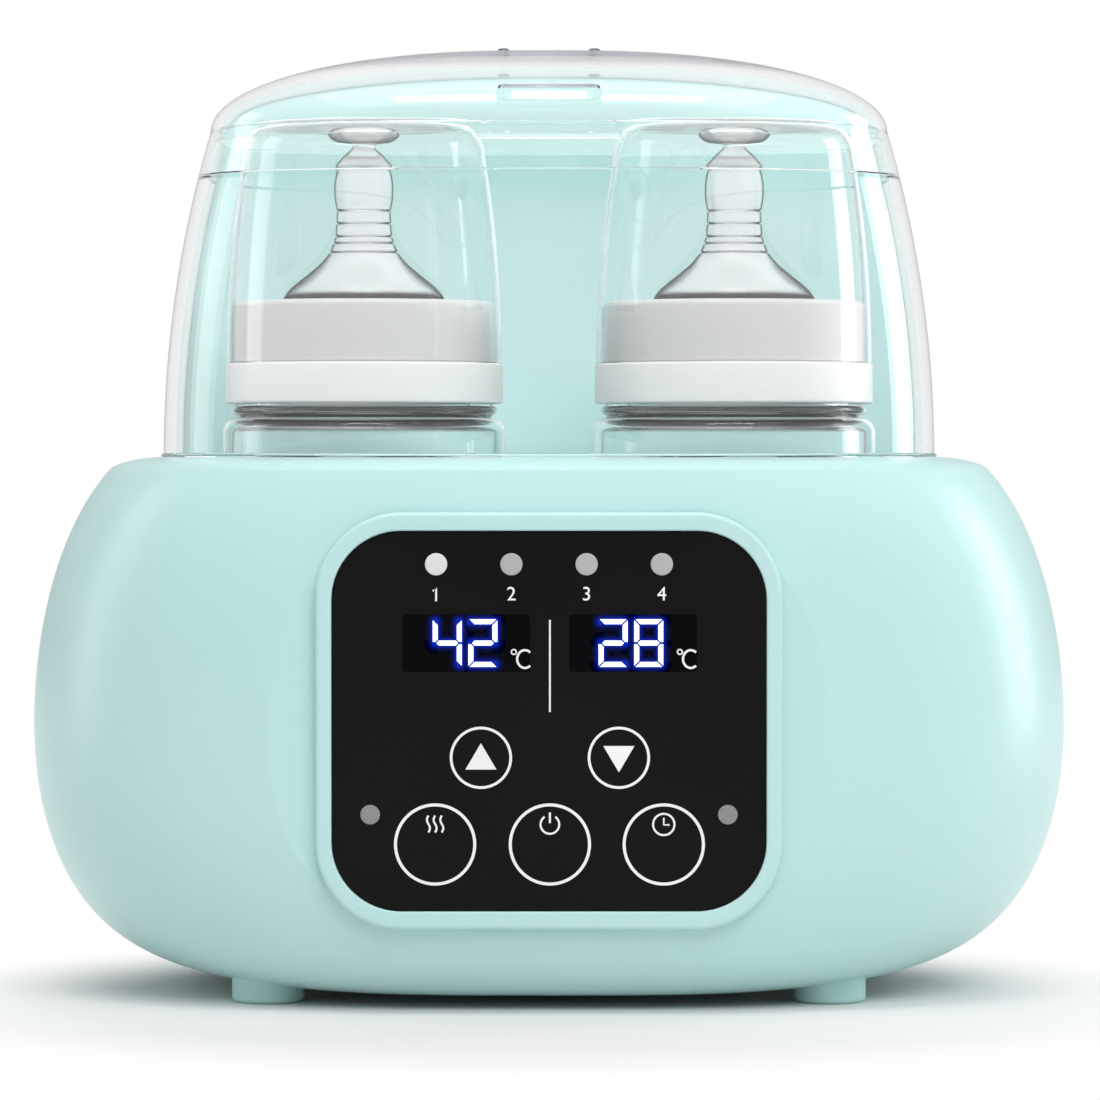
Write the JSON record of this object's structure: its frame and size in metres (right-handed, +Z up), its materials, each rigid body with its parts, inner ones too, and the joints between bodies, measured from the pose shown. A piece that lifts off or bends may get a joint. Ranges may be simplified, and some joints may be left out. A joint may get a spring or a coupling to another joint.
{
  "type": "two-bottle warmer",
  "caption": "Worktop bottle warmer: rounded mint body with two heated wells, clear lift-off hood and lid, feeding bottles in place and a black touch panel.",
  "frame": {"origin": "bottom centre of the overall box, on the table", "axes": "+Z up, -Y towards the front panel, +X to the right seen from the front"},
  "size_m": [0.246, 0.156, 0.2237],
  "materials": {
    "mint_plastic": "satin moulded plastic",
    "foot_rubber": "soft matt",
    "clear_plastic": "clear polished",
    "black_panel": "satin",
    "display": "smoked",
    "light_pipe": "frosted",
    "grey_light_pipe": "frosted",
    "circuit_board": "solder mask",
    "steel": "plain",
    "brass_pins": "plated",
    "black_plastic": "moulded",
    "transformer_iron": "varnished",
    "component_grey": "moulded",
    "white_plastic": "moulded",
    "aluminium": "turned",
    "silicone_seal": "soft",
    "bottle_glass": "clear",
    "ring_white": "satin",
    "collar_grey": "satin",
    "clear_silicone": "clear soft",
    "clear_cap": "clear"
  },
  "bodies": {
    "base": {"body_shell": "mint_plastic", "deck_plate": "mint_plastic", "base_plate": "mint_plastic", "bezel": "mint_plastic", "foot_front_left": "foot_rubber", "foot_front_right": "foot_rubber", "foot_back_left": "foot_rubber", "foot_back_right": "foot_rubber", "front_panel": "black_panel", "display_left": "display", "display_right": "display", "mode_lights": "light_pipe", "status_lights": "grey_light_pipe", "control_board": "circuit_board", "power_board": "circuit_board", "touch_springs": "steel", "base_screws": "steel", "control_screws": "steel", "power_screws": "steel", "clamp_screws": "steel", "clamp_left": "steel", "clamp_right": "steel", "probe_left": "steel", "probe_right": "steel", "inlet_pins": "brass_pins", "relay": "black_plastic", "inlet_socket": "black_plastic", "cutout_left": "black_plastic", "cutout_right": "black_plastic", "transformer": "transformer_iron", "filter_capacitor": "component_grey", "element_left": "component_grey", "element_right": "component_grey", "well_left": "white_plastic", "well_right": "white_plastic", "heater_left": "aluminium", "heater_right": "aluminium", "seal_left": "silicone_seal", "seal_right": "silicone_seal"},
    "hood": {"hood_front": "clear_plastic", "hood_back": "mint_plastic"},
    "lid": {"lid_front": "clear_plastic", "lid_back": "mint_plastic"},
    "left_bottle": {"bottle_left": "bottle_glass", "ring_left": "ring_white", "collar_left": "collar_grey", "nipple_left": "clear_silicone"},
    "left_cap": {"cap_left": "clear_cap", "stopper_left": "clear_cap"},
    "right_bottle": {"bottle_right": "bottle_glass", "ring_right": "ring_white", "collar_right": "collar_grey", "nipple_right": "clear_silicone"},
    "right_cap": {"cap_right": "clear_cap", "stopper_right": "clear_cap"}
  },
  "joints": [
    {"name": "hood_lift", "type": "slide", "parent": "base", "child": "hood", "axis": [0, 0, 1], "range_m": [0, 0.3]},
    {"name": "lid_lift", "type": "slide", "parent": "hood", "child": "lid", "axis": [0, 0, 1], "range_m": [0, 0.12]},
    {"name": "left_bottle_lift", "type": "slide", "parent": "base", "child": "left_bottle", "axis": [0, 0, 1], "range_m": [0, 0.12]},
    {"name": "left_cap_lift", "type": "slide", "parent": "left_bottle", "child": "left_cap", "axis": [0, 0, 1], "range_m": [0, 0.06]},
    {"name": "right_bottle_lift", "type": "slide", "parent": "base", "child": "right_bottle", "axis": [0, 0, 1], "range_m": [0, 0.12]},
    {"name": "right_cap_lift", "type": "slide", "parent": "right_bottle", "child": "right_cap", "axis": [0, 0, 1], "range_m": [0, 0.06]}
  ],
  "couplings": [
    {"joint": "left_bottle_lift", "follows": "hood_lift", "ratio": 0.4},
    {"joint": "left_cap_lift", "follows": "hood_lift", "ratio": 0.2},
    {"joint": "right_bottle_lift", "follows": "hood_lift", "ratio": 0.4},
    {"joint": "right_cap_lift", "follows": "hood_lift", "ratio": 0.2}
  ]
}
